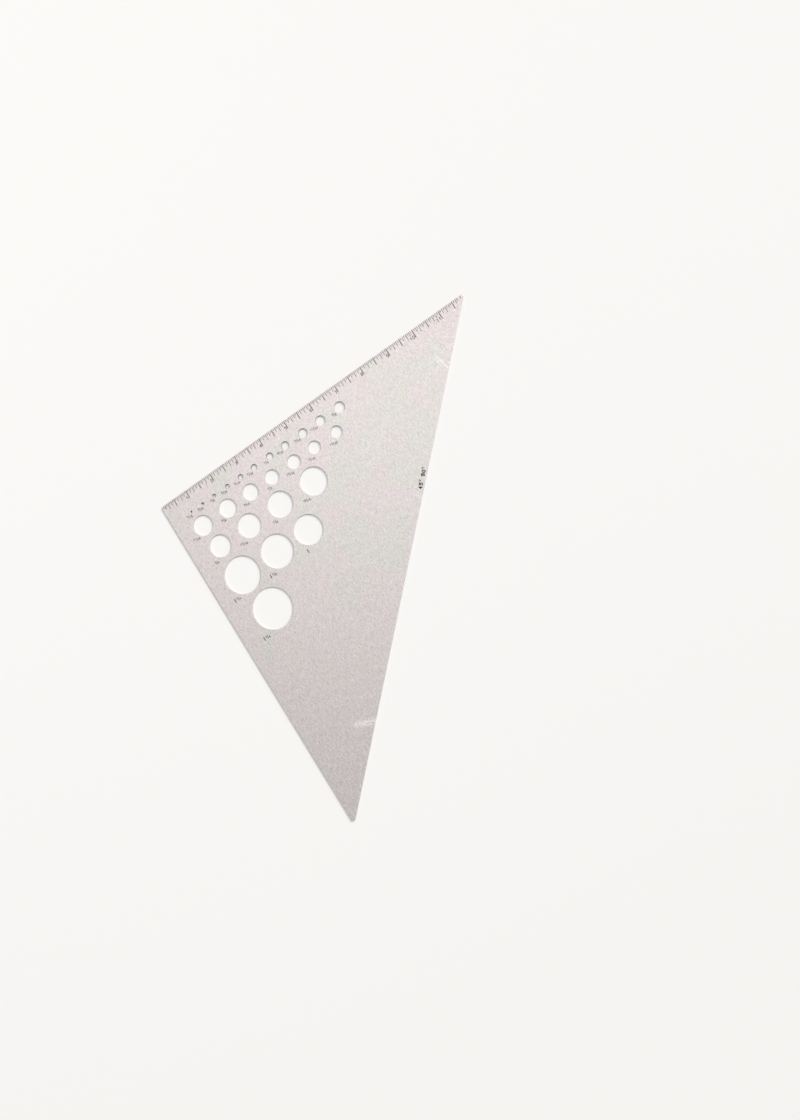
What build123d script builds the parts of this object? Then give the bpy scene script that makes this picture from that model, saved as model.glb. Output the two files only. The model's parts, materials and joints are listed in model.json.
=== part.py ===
# Drafting triangle: a flat 45-45-90 aluminium sheet with an inch scale along one leg, a circle template of
# round holes in five rows, and markings in black ink that is printed and baked on the front face.
# The origin is the right-angle corner on the back face. X runs along the ruled leg, the sheet lies on the
# -Y side of it, and Z points out of the marked face.
import os
from fractions import Fraction
from math import sqrt

from build123d import *

# Sheet
leg_length = 304.8
sheet_thickness = 1.6
corner_radius = 1.5
edge_break = 0.15

# Ink of all the markings
ink_thickness = 0.06

# Inch scale: its lines run in from the ruled edge, and each kind of line has its own length. The inch and
# half-inch lines are the broad ones
inch = 25.4
divisions_per_inch = 16
scale_margin = 0.3
broad_line_width = 0.6
fine_line_width = 0.38
inch_line_length = 7.1
half_line_length = 6.3
quarter_line_length = 5.4
eighth_line_length = 3.7
sixteenth_line_length = 2.0
tip_margin = 1.8

# Numerals of the scale, below the eighth lines and to the left of their own inch lines
numeral_height = 2.8
numeral_width = 1.9
numeral_spacing = 0.4
numeral_stroke = 0.42
numeral_drop = 0.8
numeral_side_gap = 0.4

# Holes of each row of the template, counted from the ruled edge, as shares of an inch
row_1_size_shares = [Fraction(n, 32) for n in range(2, 13)]
row_2_size_shares = [Fraction(n, 32) for n in (22, 20, 18, 16, 15, 14, 13)]
row_3_size_shares = [Fraction(n, 32) for n in (24, 26, 28, 30)]
row_4_size_shares = [Fraction(n, 32) for n in (40, 36, 32)]
row_5_size_shares = [Fraction(n, 32) for n in (44,)]

# Clear metal above each row, from the ruled edge or the row before, at the row's largest hole
row_1_space = 13.2
row_2_space = 1.8
row_3_space = 2.0
row_4_space = 2.9
row_5_space = 3.8

# Clear metal from the plain leg to the first hole of each row
row_1_start = 19.5
row_2_start = 14.0
row_3_start = 16.7
row_4_start = 13.5
row_5_start = 18.8

# Clear metal between the holes of each row, and the shares of it where the gaps are uneven
row_1_gap = 9.6
row_2_gap = 9.4
row_3_gap = 10.3
row_4_gap = 4.9
row_1_gap_shares = (1.04, 0.96, 1.05, 0.97, 0.92, 1.05, 0.93, 1.08, 0.96, 1.04)
row_2_gap_shares = (0.97, 0.91, 0.89, 1.06, 0.96, 1.22)
row_3_gap_shares = (0.99, 0.97, 1.04)
row_4_gap_shares = (1.06, 0.94)

# Labels of the holes: a raised numerator, a slash and a lowered denominator, to the lower left of the hole.
# Whole inches stand in front of the fraction, taller and bolder
label_height = 3.2
digit_height = 1.9
digit_width = 1.1
digit_spacing = 0.4
slash_width = 1.0
label_stroke = 0.32
label_gap = 0.5
whole_height = 3.4
whole_stroke = 0.65
whole_gap = 0.7
label_reach_shares = (1.1, 0.78, 0.84, 0.73, 0.81)
label_depth_shares = (0.52, 0.77, 0.85, 0.92, 0.99)

# Angle legend, which reads up the hypotenuse
legend_height = 3.2
legend_width = 2.4
legend_spacing = 0.5
legend_stroke = 0.75
legend_margin = 1.25
legend_word_gap = 2.9
legend_place_share = 0.349
degree_size = 1.6
degree_stroke = 0.42
degree_rise = 0.65

# Strokes of each character, as shares of its box. A stroke that ends where it began is a closed loop
stroke_shares = {
    "0": [[(0, 0), (1, 0), (1, 1), (0, 1), (0, 0)]],
    "1": [[(0.15, 0.75), (0.55, 1)], [(0.55, 1), (0.55, 0)]],
    "2": [[(0, 0.7), (0, 1), (1, 1), (1, 0.58), (0, 0)], [(0, 0), (1, 0)]],
    "3": [[(0, 1), (1, 1), (1, 0.53), (0.35, 0.53)], [(0.35, 0.53), (1, 0.53), (1, 0), (0, 0)]],
    "4": [[(0.72, 0), (0.72, 1)], [(0.72, 1), (0, 0.3)], [(0, 0.3), (1, 0.3)]],
    "5": [[(1, 1), (0.05, 1)], [(0.05, 1), (0.05, 0.58)], [(0.05, 0.58), (1, 0.58), (1, 0), (0, 0)]],
    "6": [[(0, 0), (1, 0), (1, 0.57), (0, 0.57), (0, 0)], [(0.9, 1), (0, 1), (0, 0.3)]],
    "7": [[(0, 1), (1, 1)], [(1, 1), (0.3, 0)]],
    "8": [[(0, 0), (1, 0), (1, 0.53), (0, 0.53), (0, 0)], [(0, 0.53), (1, 0.53), (1, 1), (0, 1), (0, 0.53)]],
    "9": [[(0, 0.43), (1, 0.43), (1, 1), (0, 1), (0, 0.43)], [(0.1, 0), (1, 0), (1, 0.7)]],
    "/": [[(0, 0), (1, 1)]],
}
stroke_corner_share = 0.45

os.makedirs("parts", exist_ok=True)
front_face = Plane.XY.offset(sheet_thickness)
markings = {}


def draw_character(name, width, height, stroke):
    # One character, centred on the origin. Its strokes have round ends
    corner = stroke_corner_share * min(width - stroke, (height - stroke) / 2)
    with BuildSketch() as drawn:
        for stroke_points in stroke_shares[name]:
            points = [((x - 0.5) * (width - stroke), (y - 0.5) * (height - stroke)) for x, y in stroke_points]
            is_loop = points[0] == points[-1]
            with BuildLine() as path:
                if is_loop:
                    FilletPolyline(*points[:-1], radius=corner, close=True)
                elif len(points) == 2:
                    Line(*points)
                else:
                    FilletPolyline(*points, radius=corner)
            trace(path.line, line_width=stroke)
            if not is_loop:
                with Locations(points[0], points[-1]):
                    Circle(stroke / 2)
    return drawn.sketch


def add_characters(placed_characters, width, height, stroke):
    # Adds characters to the sketch that is open, from the name and the centre of each
    for name in sorted({name for name, x, y in placed_characters}):
        with Locations(*[(x, y) for placed_name, x, y in placed_characters if placed_name == name]):
            add(draw_character(name, width, height, stroke))


# Lines of the scale, one marking for each kind of line. Each kind halves the spaces that are left by the
# kind before it, and its last line ends short of the hypotenuse
division = inch / divisions_per_inch
line_kinds = {
    "inch_lines": (inch_line_length, broad_line_width),
    "half_inch_lines": (half_line_length, broad_line_width),
    "quarter_inch_lines": (quarter_line_length, fine_line_width),
    "eighth_inch_lines": (eighth_line_length, fine_line_width),
    "sixteenth_inch_lines": (sixteenth_line_length, fine_line_width),
}
for halvings, (name, (line_length, line_width)) in enumerate(line_kinds.items()):
    first = divisions_per_inch // 2**halvings
    step = 2 * first if halvings else first
    line_end = scale_margin + line_length
    last = int((leg_length - line_end - tip_margin) / division)
    with BuildSketch(front_face) as lines:
        with Locations(*[(count * division, -line_end) for count in range(first, last + 1, step)]):
            Rectangle(line_width, line_length, align=(Align.CENTER, Align.MIN))
    markings[name] = lines.sketch

# Numerals of the scale, one for each inch line
inch_line_count = int((leg_length - scale_margin - inch_line_length - tip_margin) / inch)
numeral_pitch = numeral_width + numeral_spacing
numeral_line = scale_margin + eighth_line_length + numeral_drop + numeral_height / 2
numerals = []
for count in range(1, inch_line_count + 1):
    right_end = count * inch - broad_line_width / 2 - numeral_side_gap
    for place, name in enumerate(reversed(str(count))):
        numerals.append((name, right_end - numeral_width / 2 - place * numeral_pitch, -numeral_line))
with BuildSketch(front_face) as inch_numerals:
    add_characters(numerals, numeral_width, numeral_height, numeral_stroke)
markings["inch_numerals"] = inch_numerals.sketch

# Rows of holes: the depth of each row below the ruled edge, and the centre and radius of each hole in it
row_sizes = (row_1_size_shares, row_2_size_shares, row_3_size_shares, row_4_size_shares, row_5_size_shares)
row_spaces = (row_1_space, row_2_space, row_3_space, row_4_space, row_5_space)
row_starts = (row_1_start, row_2_start, row_3_start, row_4_start, row_5_start)
row_gaps = (row_1_gap, row_2_gap, row_3_gap, row_4_gap, 0)
row_gap_shares = (row_1_gap_shares, row_2_gap_shares, row_3_gap_shares, row_4_gap_shares, ())
rows = []
row_bottom = 0
for sizes, space, start, gap, gap_shares in zip(row_sizes, row_spaces, row_starts, row_gaps, row_gap_shares):
    largest_radius = float(max(sizes)) * inch / 2
    depth = row_bottom + space + largest_radius
    row_bottom = depth + largest_radius
    holes = []
    hole_left = start
    for size, gap_share in zip(sizes, (*gap_shares, 0)):
        radius = float(size) * inch / 2
        holes.append((hole_left + radius, radius, size))
        hole_left += 2 * radius + gap_share * gap
    rows.append((depth, largest_radius, holes))

# Labels of the holes, one marking for each row
digit_pitch = digit_width + digit_spacing
digit_raise = (label_height - digit_height) / 2
for row, (depth, largest_radius, holes) in enumerate(rows):
    label_drop = label_depth_shares[row] * largest_radius
    label_line = -depth - label_drop
    small_digits = []
    whole_digits = []
    slashes = []
    for hole_x, radius, size in holes:
        # The label ends clear of the rim, measured at the level of its upper edge
        upper_drop = max(label_drop - label_height / 2, 0)
        rim_reach = sqrt(max((radius + label_gap) ** 2 - upper_drop**2, 0))
        label_x = hole_x - max(rim_reach, label_reach_shares[row] * radius)
        whole, fraction = divmod(size, 1)
        if fraction:
            for name in reversed(str(fraction.denominator)):
                small_digits.append((name, label_x - digit_width / 2, label_line - digit_raise))
                label_x -= digit_pitch
            slashes.append(("/", label_x + digit_spacing / 2 - slash_width / 2, label_line))
            label_x -= slash_width
            for name in reversed(str(fraction.numerator)):
                small_digits.append((name, label_x - digit_width / 2, label_line + digit_raise))
                label_x -= digit_pitch
            label_x -= whole_gap
        if whole:
            whole_digits.append((str(whole), label_x - digit_width / 2, label_line))
    with BuildSketch(front_face) as labels:
        add_characters(small_digits, digit_width, digit_height, label_stroke)
        add_characters(whole_digits, digit_width, whole_height, whole_stroke)
        add_characters(slashes, slash_width, label_height, label_stroke)
    markings[f"hole_sizes_row_{row + 1}"] = labels.sketch

# Angle legend: two angles on a line that runs up the hypotenuse
legend_pitch = legend_width + legend_spacing
legend_words = ("45", "90")
word_length = len(legend_words[0]) * legend_pitch + degree_size
legend_step = word_length + legend_word_gap
legend_plane = Plane(
    origin=(leg_length * (1 - legend_place_share), -leg_length * legend_place_share, front_face.origin.Z),
    x_dir=(1, 1, 0),
    z_dir=(0, 0, 1),
)
legend_line = legend_margin + legend_height / 2
legend_digits = []
degree_places = []
for word_place, word in enumerate(legend_words):
    word_left = (word_place - len(legend_words) / 2) * legend_step + legend_word_gap / 2
    for place, name in enumerate(word):
        legend_digits.append((name, word_left + place * legend_pitch + legend_width / 2, legend_line))
    degree_x = word_left + word_length - degree_size / 2
    degree_places.append((degree_x, legend_margin + legend_height + degree_rise - degree_size / 2))
with BuildSketch(legend_plane) as angle_legend:
    add_characters(legend_digits, legend_width, legend_height, legend_stroke)
    with Locations(*degree_places):
        Circle(degree_size / 2)
        Circle(degree_size / 2 - degree_stroke, mode=Mode.SUBTRACT)
markings["angle_legend"] = angle_legend.sketch

# Sheet: the outline with its rounded corners, the holes, then the broken edges
with BuildPart() as plate:
    with BuildSketch() as outline:
        with BuildLine():
            Polyline((0, 0), (leg_length, 0), (0, -leg_length), close=True)
        make_face()
        fillet(outline.vertices(), corner_radius)
        for depth, largest_radius, holes in rows:
            for hole_x, radius, size in holes:
                with Locations((hole_x, -depth)):
                    Circle(radius, mode=Mode.SUBTRACT)
    extrude(amount=sheet_thickness)
    back, front = plate.faces().filter_by(Axis.Z).sort_by(Axis.Z)
    chamfer(back.edges() + front.edges(), edge_break)
plate.part.label = "plate"
export_step(plate.part, "parts/plate.step")

# Ink, one node for each marking
for name, marks in markings.items():
    with BuildPart() as ink:
        extrude(marks, amount=ink_thickness)
    ink.part.label = name
    export_step(ink.part, f"parts/{name}.step")
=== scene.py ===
import json
from math import hypot, radians

import bmesh
import bpy
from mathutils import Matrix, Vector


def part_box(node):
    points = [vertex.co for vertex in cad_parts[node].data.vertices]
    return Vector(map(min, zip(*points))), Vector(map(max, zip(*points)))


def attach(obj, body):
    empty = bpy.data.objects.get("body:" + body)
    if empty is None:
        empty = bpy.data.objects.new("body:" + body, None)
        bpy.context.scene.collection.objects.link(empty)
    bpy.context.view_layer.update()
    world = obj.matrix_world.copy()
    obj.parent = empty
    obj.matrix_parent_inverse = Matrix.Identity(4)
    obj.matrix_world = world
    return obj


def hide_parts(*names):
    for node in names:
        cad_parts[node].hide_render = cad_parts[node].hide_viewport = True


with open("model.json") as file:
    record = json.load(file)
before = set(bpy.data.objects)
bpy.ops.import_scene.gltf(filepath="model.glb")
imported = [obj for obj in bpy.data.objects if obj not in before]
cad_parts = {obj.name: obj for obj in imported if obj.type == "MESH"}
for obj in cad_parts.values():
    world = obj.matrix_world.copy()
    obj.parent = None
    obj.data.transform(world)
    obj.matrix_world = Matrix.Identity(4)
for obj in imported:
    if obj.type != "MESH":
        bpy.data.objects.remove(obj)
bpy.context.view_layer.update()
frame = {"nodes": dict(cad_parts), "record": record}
mounts = {mount["name"]: mount for mount in frame["record"]["mounts"]}
print("frame loaded:", len(frame["nodes"]), "nodes")

mmPerMetre = 1000.0
noiseMiddle = 0.5


# One output socket of a node tree. Arithmetic on it adds Math nodes to that tree.
class Wire:
    def __init__(self, tree, socket=None):
        self.tree = tree
        self.socket = socket

    # Adds a node with its settings, then gives its sockets values or links, by identifier
    def node(self, kind, sockets=(), settings=(), output=0):
        made = self.tree.nodes.new(kind)
        for name, value in dict(settings).items():
            setattr(made, name, value)
        targets = {socket.identifier: socket for socket in made.inputs}
        for name, value in dict(sockets).items():
            for part in value if isinstance(value, list) else [value]:
                if isinstance(part, Wire):
                    self.tree.links.new(part.socket, targets[name])
                else:
                    targets[name].default_value = part
        return Wire(self.tree, made.outputs[output]) if made.outputs else Wire(self.tree)

    # Another output of the same node
    def output(self, name):
        return Wire(self.tree, self.socket.node.outputs[name])

    def math(self, operation, first, second=0.0):
        return self.node("ShaderNodeMath", {"Value": first, "Value_001": second}, {"operation": operation})

    def __add__(self, other):
        return self.math("ADD", self, other)

    def __radd__(self, other):
        return self.math("ADD", other, self)

    def __sub__(self, other):
        return self.math("SUBTRACT", self, other)

    def __rsub__(self, other):
        return self.math("SUBTRACT", other, self)

    def __mul__(self, other):
        return self.math("MULTIPLY", self, other)

    def __rmul__(self, other):
        return self.math("MULTIPLY", other, self)

    def __truediv__(self, other):
        return self.math("DIVIDE", self, other)

    def __gt__(self, other):
        return self.math("GREATER_THAN", self, other)

    # 1 where this whole number is the given one, to within a half, and 0 elsewhere
    def equals(self, number):
        sockets = {"Value": self, "Value_001": number, "Value_002": 0.5}
        return self.node("ShaderNodeMath", sockets, {"operation": "COMPARE"})

    # 0 below low, 1 above high, smooth between, and the other way round where low is the larger
    def rise(self, low, high):
        sockets = {"Value": self, "From Min": low, "From Max": high}
        return self.node("ShaderNodeMapRange", sockets, {"interpolation_type": "SMOOTHSTEP"})

    # The X, Y or Z of this place
    def part(self, axis):
        return self.node("ShaderNodeSeparateXYZ", {"Vector": self}, output=axis)

    def vectorMath(self, operation, other):
        sockets = {"Vector": self, "Vector_001": other}
        return self.node("ShaderNodeVectorMath", sockets, {"operation": operation})

    def scaled(self, factor):
        return self.node("ShaderNodeVectorMath", {"Vector": self, "Scale": factor}, {"operation": "SCALE"})

    # A value that the mesh carries at each point
    def attribute(self, name):
        return self.node("ShaderNodeAttribute", (), {"attribute_name": name}, output="Fac")

    # Noise of this place, in lumps of a size along each axis. The shift keeps it unlike other noises.
    def noise(self, size, detail, shift):
        moved = self.vectorMath("DIVIDE", size).vectorMath("ADD", (shift, shift, shift))
        return self.node("ShaderNodeTexNoise", {"Vector": moved, "Scale": 1.0, "Detail": detail})

    # Distance of this place from a straight mark on the sheet
    def distanceTo(self, start, end):
        length = hypot(end[0] - start[0], end[1] - start[1])
        ux, uy = (end[0] - start[0]) / length, (end[1] - start[1]) / length
        x, y = self.part("X") - start[0], self.part("Y") - start[1]
        along = self.math("MINIMUM", self.math("MAXIMUM", x * ux + y * uy, 0.0), length)
        sideX, sideY = x - along * ux, y - along * uy
        return self.math("SQRT", sideX * sideX + sideY * sideY)

    # Normals of a surface that is as high as this value says, times a distance
    def bump(self, distance):
        return self.node("ShaderNodeBump", {"Distance": distance, "Height": self})

    # A colour between two others, with this as the factor
    def between(self, first, second):
        sockets = {"Factor_Float": self, "A_Color": first, "B_Color": second}
        return self.node("ShaderNodeMix", sockets, {"data_type": "RGBA"}, output=2)

    # This colour turned towards another by a factor
    def towards(self, colour, factor):
        return factor.between(self, colour)


# A number or wire that noises move up and down, each by its share
def swung(value, noises, shares):
    for name, share in shares.items():
        value = value + share * (noises[name] - noiseMiddle)
    return value


def startMaterial(name):
    material = bpy.data.materials.new(name)
    material.use_nodes = True
    return material, material.node_tree.nodes["Principled BSDF"]


# Object coordinates in mm
def placeInMillimetres(material):
    metres = Wire(material.node_tree).node("ShaderNodeTexCoord", output="Object")
    return metres.scaled(mmPerMetre)


def feedShader(shader, wires):
    for name, wire in wires.items():
        wire.tree.links.new(wire.socket, shader.inputs[name])


# Looks of the metal and the ink: shares are how far noises swing a value, a range is where a value rises
# from 0 to 1, and an amount is the most that a layer covers. Lengths are in mm, unless they say m.
aluminiumLook = {
    "warm": (0.79, 0.727, 0.725, 1),  # pinkish grey of most of the sheet
    "cool": (0.76, 0.738, 0.703, 1),  # greenish grey patches
    "fleck": (0.93, 0.91, 0.90, 1),  # flecks and rubbed edges
    "paintedGlint": (1.0, 0.985, 0.975, 1),  # painted glints: near-white streaks that stand in for highlights
    "cut": (0.60, 0.575, 0.57, 1),  # walls of the outline and the holes
    "paintedHoleShade": (0.035, 0.033, 0.033, 1),  # painted shade on the walls of small holes

    # Streaks of rolling run square to the ruled edge, and the cutter's scores run through the thickness.
    # Creases fray the painted glints, and tears are gaps in them.
    "noises": {
        "patches": {"size": (38, 38, 38), "detail": 3.0, "shift": 0.0},
        "streaks": {"size": (0.8, 4.5, 0.8), "detail": 2.0, "shift": 11.0},
        "fineStreaks": {"size": (0.35, 1.6, 0.35), "detail": 2.0, "shift": 23.0},
        "grain": {"size": (0.6, 0.9, 0.6), "detail": 1.0, "shift": 5.0},
        "flecks": {"size": (0.6, 2.3, 0.6), "detail": 1.0, "shift": 37.0},
        "scores": {"size": (0.12, 0.12, 2.5), "detail": 2.0, "shift": 3.0},
        "creases": {"size": (0.8, 0.8, 0.8), "detail": 2.0, "shift": 53.0},
        "tears": {"size": (1.5, 1.5, 1.5), "detail": 2.0, "shift": 61.0},
    },

    # Cool patches gather along a band, whose pull falls to 0 at its reach and to the least beyond it
    "coolBand": {
        "start": (214.0, -44.0),
        "end": (128.0, -118.0),
        "reach": 60.0,
        "pull": 0.2,
        "least": -0.38,
    },
    "coolShares": {"patches": 1.5},
    "coolRange": (-0.02, 0.22),

    "shadeShares": {"streaks": 0.42, "fineStreaks": 0.52, "grain": 0.50},
    "fleckRange": (0.60, 0.73),
    "fleckAmount": 0.75,

    # The rim attribute is 1 on the walls and falls to 0 across the band beside each edge
    "edgeShares": {"grain": 0.5, "streaks": 0.4},
    "edgeRange": (0.62, 0.95),
    "edgeAmount": 0.12,
    "cutRange": (0.955, 0.99),
    "cutAmount": 0.8,
    "cutShares": {"scores": 0.4},
    "leastHole": 0.1,  # below this radius a wall is the outline's, which gets no painted shade
    "paintedHoleShadeRange": (7.0, 1.3),  # hole radii with no painted shade and with all of it
    "paintedHoleShadeAmount": 0.9,

    "paintedGlintMarks": [  # painted glints, standing in for highlights: ends of each mark, how far it reaches to either side and how ragged it is
        {"start": (258.7, -29.0), "end": (261.4, -43.5), "reach": 1.3, "ragged": 1.3},
        {"start": (256.4, -31.0), "end": (258.8, -41.0), "reach": 0.8, "ragged": 1.2},
        {"start": (45.0, -239.5), "end": (59.5, -245.5), "reach": 4.4, "ragged": 6.5},
    ],
    "paintedGlintLevel": 0.8,  # painted glints show above this height, so the front has them and the back none
    "paintedGlintAmount": 0.75,
    "tearRange": (0.40, 0.56),

    "roughness": 0.51,
    "roughnessShares": {"streaks": 0.14, "fineStreaks": 0.10},
    "polish": 0.12,  # how much smoother the rubbed edges and the painted glints are
    "cutRoughness": 0.75,
    "cutDullness": 0.5,  # how much less metallic the walls are
    "paintedGlintDullness": 0.7,
    "relief": {"streaks": 0.5, "fineStreaks": 0.35, "grain": 0.3},
    "cutRelief": 0.9,
    "bumpHeight": 0.000006,  # m
}


def makeAluminium():
    look = aluminiumLook
    material, shader = startMaterial("rolledAluminium")
    place = placeInMillimetres(material)
    noises = {name: place.noise(**entry) for name, entry in look["noises"].items()}

    band = look["coolBand"]
    gathered = 1 - place.distanceTo(band["start"], band["end"]) / band["reach"]
    pulled = band["pull"] * place.math("MAXIMUM", gathered, band["least"])
    cool = swung(pulled, noises, look["coolShares"]).rise(*look["coolRange"])
    flecks = look["fleckAmount"] * noises["flecks"].rise(*look["fleckRange"])

    rim = place.attribute("rim")
    edges = look["edgeAmount"] * swung(rim, noises, look["edgeShares"]).rise(*look["edgeRange"])
    cut = rim.rise(*look["cutRange"])
    # Painted shade: the walls of holes turn darker the smaller the hole is
    radius = mmPerMetre * place.attribute("holeRadius")
    holeShaded = cut * (radius > look["leastHole"]) * radius.rise(*look["paintedHoleShadeRange"])

    # Painted glints: frayed, broken streaks turned near white and less metallic, standing in for
    # highlights
    torn = look["paintedGlintAmount"] * noises["tears"].rise(*look["tearRange"])
    paintedGlints = 0
    for mark in look["paintedGlintMarks"]:
        away = swung(place.distanceTo(mark["start"], mark["end"]), noises, {"creases": mark["ragged"]})
        paintedGlints = paintedGlints + torn * away.rise(mark["reach"], 0)
    paintedGlints = paintedGlints * (place.part("Z") > look["paintedGlintLevel"])

    colour = cool.between(look["warm"], look["cool"]).scaled(swung(1, noises, look["shadeShares"]))
    # Flecks and rubbed edges turn lighter, and the painted glints turn near white
    colour = colour.towards(look["fleck"], flecks + edges).towards(look["paintedGlint"], paintedGlints)
    colour = colour.towards(look["cut"], cut * swung(look["cutAmount"], noises, look["cutShares"]))
    colour = colour.towards(look["paintedHoleShade"], look["paintedHoleShadeAmount"] * holeShaded)
    roughness = swung(look["roughness"], noises, look["roughnessShares"])
    roughness = roughness - look["polish"] * (edges + paintedGlints)
    roughness = roughness + (look["cutRoughness"] - look["roughness"]) * cut
    relief = sum(share * noises[name] for name, share in look["relief"].items())
    height = relief * (1 - cut) + look["cutRelief"] * noises["scores"] * cut
    feedShader(shader, {
        "Base Color": colour,
        "Metallic": 1 - look["cutDullness"] * cut - look["paintedGlintDullness"] * paintedGlints,
        "Roughness": roughness,
        "Normal": height.bump(look["bumpHeight"]),
    })
    return material


inkLook = {
    "full": (0.018, 0.017, 0.018, 1),
    "thin": (0.075, 0.070, 0.070, 1),
    "noises": {
        "wear": {"size": (1.1, 1.1, 1.1), "detail": 3.0, "shift": 0.0},
        "grain": {"size": (0.12, 0.12, 0.12), "detail": 2.0, "shift": 7.0},
    },
    "wearShares": {"grain": 0.35},
    "wearRange": (0.5, 0.72),
    "roughness": 0.58,
    "roughnessShares": {"grain": 0.2},
    "bumpHeight": 0.000004,  # m
}


def makeInk():
    look = inkLook
    material, shader = startMaterial("bakedInk")
    place = placeInMillimetres(material)
    noises = {name: place.noise(**entry) for name, entry in look["noises"].items()}
    worn = swung(noises["wear"], noises, look["wearShares"]).rise(*look["wearRange"])
    feedShader(shader, {
        "Base Color": worn.between(look["full"], look["thin"]),
        "Roughness": swung(look["roughness"], noises, look["roughnessShares"]),
        "Normal": noises["grain"].bump(look["bumpHeight"]),
    })
    return material


# Sheet: Geometry Nodes sweep one edge profile round the outline and each hole, then fill both faces.
# Lengths are in m from here on.
sheetShape = {
    "leg": 2 * mounts["hypotenuse_edge"]["pos_m"][0],
    "thickness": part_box("plate")[1].z,
    "cornerRadius": 0.0015,
    "edgeRadius": 0.00014,
    "rimBand": 0.0012,  # width of the band that gets rubbed along every edge
    "holeSegments": 96,
    "cornerSegments": 10,
    "edgeSegments": 4,
    "mergeDistance": 0.000002,
}


def makeSheetTree(finish):
    tree = bpy.data.node_groups.new("punchedSheet", "GeometryNodeTree")
    tree.interface.new_socket("Holes", in_out="INPUT", socket_type="NodeSocketGeometry")
    for name, value in sheetShape.items():
        kind = "NodeSocketInt" if isinstance(value, int) else "NodeSocketFloat"
        tree.interface.new_socket(name, in_out="INPUT", socket_type=kind)
    result = tree.interface.new_socket("Sheet", in_out="OUTPUT", socket_type="NodeSocketGeometry")
    start = Wire(tree)
    given = start.node("NodeGroupInput")
    leg, thickness, rimBand = given.output("leg"), given.output("thickness"), given.output("rimBand")
    index = start.node("GeometryNodeInputIndex")
    position = start.node("GeometryNodeInputPosition")

    # Edge profile of four points: X goes into the sheet, and Y goes down through it
    line = start.node("GeometryNodeMeshLine", {"Count": 4})
    profile = start.node("GeometryNodeMeshToCurve", {"Mesh": line})
    corner = start.node("ShaderNodeCombineXYZ", {
        "X": rimBand * (index.equals(0) + index.equals(3)),
        "Y": (0 - thickness) * (index.equals(2) + index.equals(3)),
    })
    profile = start.node("GeometryNodeSetPosition", {"Geometry": profile, "Position": corner})
    profile = start.node("GeometryNodeFilletCurve", {
        "Curve": profile, "Count": given.output("edgeSegments"), "Radius": given.output("edgeRadius"),
    }, {"mode": "POLY"})
    profile = start.node("GeometryNodeStoreNamedAttribute", {
        "Geometry": profile, "Name": "rim", "Value": 1 - position.part("X") / rimBand,
    })

    # Outline: a circle of three points, moved to the corners and rounded there
    outline = start.node("GeometryNodeCurvePrimitiveCircle", {"Resolution": 3})
    corner = start.node("ShaderNodeCombineXYZ", {
        "X": leg * index.equals(1),
        "Y": (0 - leg) * index.equals(2),
    })
    outline = start.node("GeometryNodeSetPosition", {"Geometry": outline, "Position": corner})
    outline = start.node("GeometryNodeFilletCurve", {
        "Curve": outline, "Count": given.output("cornerSegments"), "Radius": given.output("cornerRadius"),
    }, {"mode": "POLY"})

    # Holes: one circle on each point
    radius = start.node("GeometryNodeInputNamedAttribute", {"Name": "holeRadius"})
    circle = start.node("GeometryNodeCurvePrimitiveCircle", {
        "Resolution": given.output("holeSegments"), "Radius": 1.0,
    })
    holes = start.node("GeometryNodeInstanceOnPoints", {
        "Points": given.output("Holes"), "Instance": circle, "Scale": radius,
    })
    holes = start.node("GeometryNodeRealizeInstances", {"Geometry": holes})

    # Walls with their rims, then the two faces inside the rims, whose borders are edges with one face
    loops = start.node("GeometryNodeJoinGeometry", {"Geometry": [outline, holes]})
    walls = start.node("GeometryNodeCurveToMesh", {"Curve": loops, "Profile Curve": profile})
    faceCount = start.node("GeometryNodeInputMeshEdgeNeighbors")
    border = faceCount.equals(1) * (position.part("Z") > thickness / 2)
    inner = start.node("GeometryNodeMeshToCurve", {"Mesh": walls, "Selection": border})
    back = start.node("GeometryNodeFillCurve", {"Curve": inner})
    raised = start.node("ShaderNodeCombineXYZ", {"Z": thickness})
    front = start.node("GeometryNodeTransform", {"Geometry": back, "Translation": raised})
    sheet = start.node("GeometryNodeJoinGeometry", {"Geometry": [walls, back, front]})
    sheet = start.node("GeometryNodeMergeByDistance", {
        "Geometry": sheet, "Distance": given.output("mergeDistance"),
    })
    sheet = start.node("GeometryNodeRealizeInstances", {"Geometry": sheet})
    sheet = start.node("GeometryNodeSetMaterial", {"Geometry": sheet, "Material": finish})
    start.node("NodeGroupOutput", {result.identifier: sheet})
    return tree


def makeSheet(finish):
    bores = [mount for mount in mounts.values() if mount["kind"] == "bore"]
    points = bpy.data.meshes.new("holeCentres")
    points.from_pydata([(mount["pos_m"][0], mount["pos_m"][1], 0) for mount in bores], [], [])
    radii = points.attributes.new("holeRadius", "FLOAT", "POINT")
    radii.data.foreach_set("value", [mount["dims"]["r_mm"] / mmPerMetre for mount in bores])
    seed = bpy.data.objects.new("sheetSeed", points)
    bpy.context.scene.collection.objects.link(seed)
    modifier = seed.modifiers.new("punchedSheet", "NODES")
    modifier.node_group = makeSheetTree(finish)
    for item in modifier.node_group.interface.items_tree:
        if item.name in sheetShape:
            modifier[item.identifier] = sheetShape[item.name]
    bpy.context.view_layer.update()
    graph = bpy.context.evaluated_depsgraph_get()
    mesh = bpy.data.meshes.new_from_object(seed.evaluated_get(graph))
    bpy.data.objects.remove(seed)

    flat = 0.999  # Z of a normal, above which a face is part of the front or the back
    shaped = bmesh.new()
    shaped.from_mesh(mesh)
    bmesh.ops.recalc_face_normals(shaped, faces=shaped.faces)
    for face in shaped.faces:
        face.smooth = abs(face.normal.z) < flat
    shaped.to_mesh(mesh)
    shaped.free()
    sheet = bpy.data.objects.new("aluminium_sheet", mesh)
    bpy.context.scene.collection.objects.link(sheet)
    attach(sheet, "root")
    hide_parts("plate")
    print("sheet:", len(bores), "holes,", len(mesh.polygons), "faces")


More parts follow.
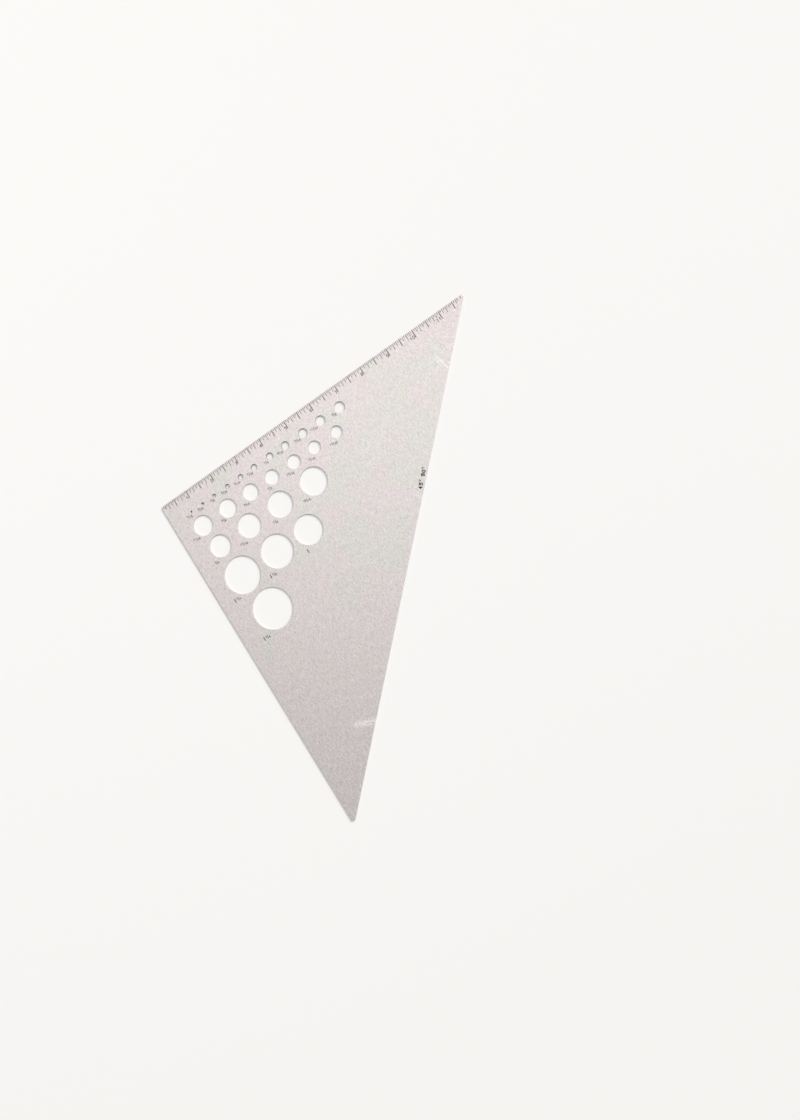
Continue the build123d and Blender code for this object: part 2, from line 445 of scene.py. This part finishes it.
makeSheet(makeAluminium())

ink = makeInk()
for name, node in frame["nodes"].items():
    if name != "plate":
        node.data.materials.clear()
        node.data.materials.append(ink)
print("ink: on", len(frame["nodes"]) - 1, "nodes")


floorLook = {
    "size": 40.0,
    "drop": 0.00003,  # the sheet doesn't touch all over
    "colour": (0.90, 0.896, 0.888, 1),
    "roughness": 0.7,
}


def makeFloor():
    look = floorLook
    material, shader = startMaterial("paleBoard")
    shader.inputs["Base Color"].default_value = look["colour"]
    shader.inputs["Roughness"].default_value = look["roughness"]
    half = look["size"] / 2
    corners = [(-half, -half), (half, -half), (half, half), (-half, half)]
    mesh = bpy.data.meshes.new("floor")
    mesh.from_pydata([(x, y, -look["drop"]) for x, y in corners], [], [(0, 1, 2, 3)])
    mesh.materials.append(material)
    floor = bpy.data.objects.new("floor", mesh)
    bpy.context.scene.collection.objects.link(floor)


makeFloor()
print("floor: done")


lightRig = {
    "sky": (0.945, 0.94, 0.935, 1),
    "skyStrength": 0.53,
    "key": {
        "turn": 4.0,  # degrees from the ruled edge, on the side away from the sheet
        "height": 38.0,  # degrees above the floor
        "spread": 24.0,  # degrees across, which softens the shadows
        "strength": 2.25,
        "colour": (1.0, 0.985, 0.965),
    },
    "softbox": {
        "location": (-0.16, 0.95, 2.2),
        "size": 1.5,
        "watts": 8.6,
        "colour": (1.0, 0.99, 0.985),
    },
}


def makeLights():
    scene = bpy.context.scene
    scene.view_settings.view_transform = "Standard"
    scene.world = bpy.data.worlds.new("studio")
    scene.world.use_nodes = True
    sky = scene.world.node_tree.nodes["Background"]
    sky.inputs["Color"].default_value = lightRig["sky"]
    sky.inputs["Strength"].default_value = lightRig["skyStrength"]

    key = lightRig["key"]
    sun = bpy.data.lights.new("key", "SUN")
    sun.energy = key["strength"]
    sun.angle = radians(key["spread"])
    sun.color = key["colour"]
    sunHolder = bpy.data.objects.new("key", sun)
    sunHolder.rotation_euler = (radians(90 - key["height"]), 0, radians(key["turn"] + 90))
    scene.collection.objects.link(sunHolder)

    softbox = lightRig["softbox"]
    lamp = bpy.data.lights.new("softbox", "AREA")
    lamp.size = softbox["size"]
    lamp.energy = softbox["watts"]
    lamp.color = softbox["colour"]
    lampHolder = bpy.data.objects.new("softbox", lamp)
    lampHolder.location = softbox["location"]
    scene.collection.objects.link(lampHolder)


makeLights()
print("lights: done")


photoView = {
    "location": (0.25252, -0.24266, 0.72637),
    "turn": (1.5763, 10.9675, -33.1018),  # degrees
    "focalPixels": 929.34,  # in pixels of the photograph
    "pictureHeight": 1120,  # pixels
    "sensor": 36.0,  # mm, on the long side
}


def makeCamera():
    camera = bpy.data.cameras.new("photoView")
    camera.sensor_width = photoView["sensor"]
    camera.lens = photoView["focalPixels"] * photoView["sensor"] / photoView["pictureHeight"]
    holder = bpy.data.objects.new("photoView", camera)
    holder.location = photoView["location"]
    holder.rotation_euler = [radians(angle) for angle in photoView["turn"]]
    bpy.context.scene.collection.objects.link(holder)
    bpy.context.scene.camera = holder


makeCamera()
print("camera: done")
